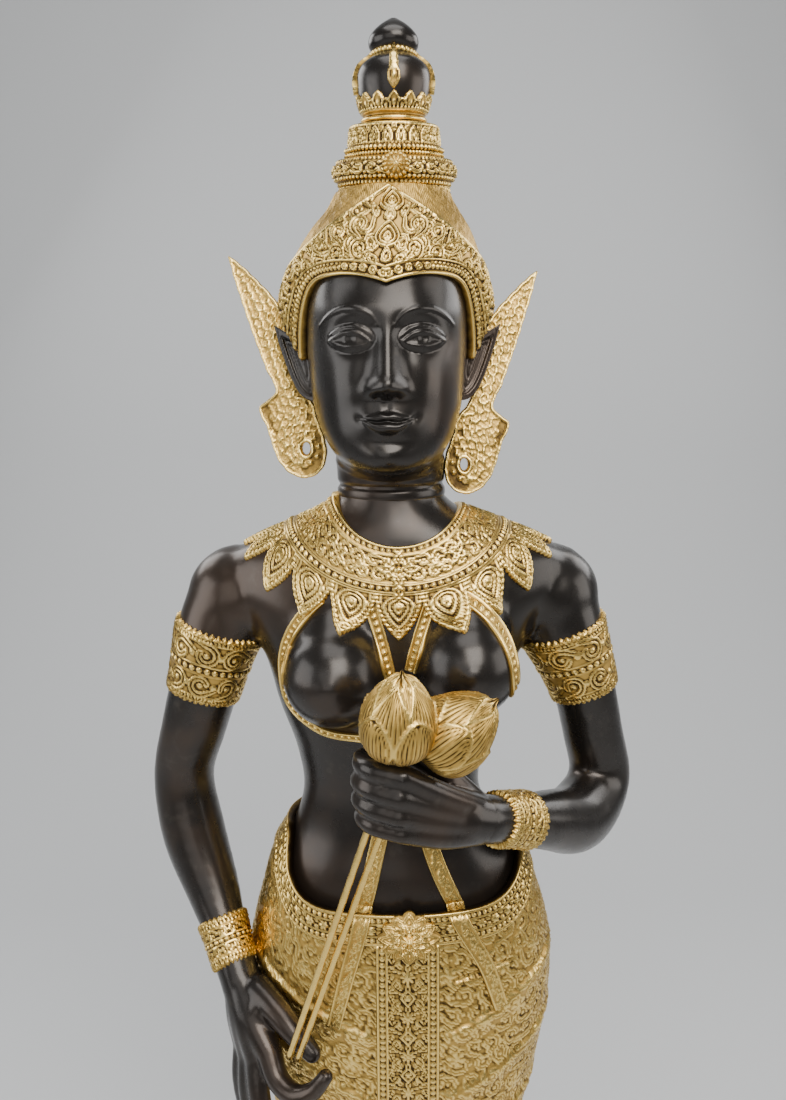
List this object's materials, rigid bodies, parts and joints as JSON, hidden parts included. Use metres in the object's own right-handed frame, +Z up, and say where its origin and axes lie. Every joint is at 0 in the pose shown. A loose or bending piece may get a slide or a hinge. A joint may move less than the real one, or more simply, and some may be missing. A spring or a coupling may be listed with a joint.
{
  "type": "crowned celestial figure statue",
  "caption": "Thai-style crowned celestial woman in a long wrapped skirt, standing on a low lotus base and holding long-stemmed lotus buds; dark bronze with gilt ornament.",
  "frame": {"origin": "centre of the round base's underside, on the floor", "axes": "+Z up, the figure faces -Y, +X towards the figure's left hand"},
  "size_m": [0.3172, 0.3, 1.1503],
  "materials": {
    "dark_bronze": "dark brown-black patinated bronze, semi-gloss",
    "gilt": "satin gilding with dark brown in the recesses",
    "base_bronze": "dark patinated bronze, semi-gloss"
  },
  "bodies": {
    "root": {"figure": "dark_bronze", "ear_ornament_left": "gilt", "ear_ornament_right": "gilt", "lotus_upright": "gilt", "lotus_leaning": "gilt", "base": "base_bronze"}
  },
  "joints": []
}
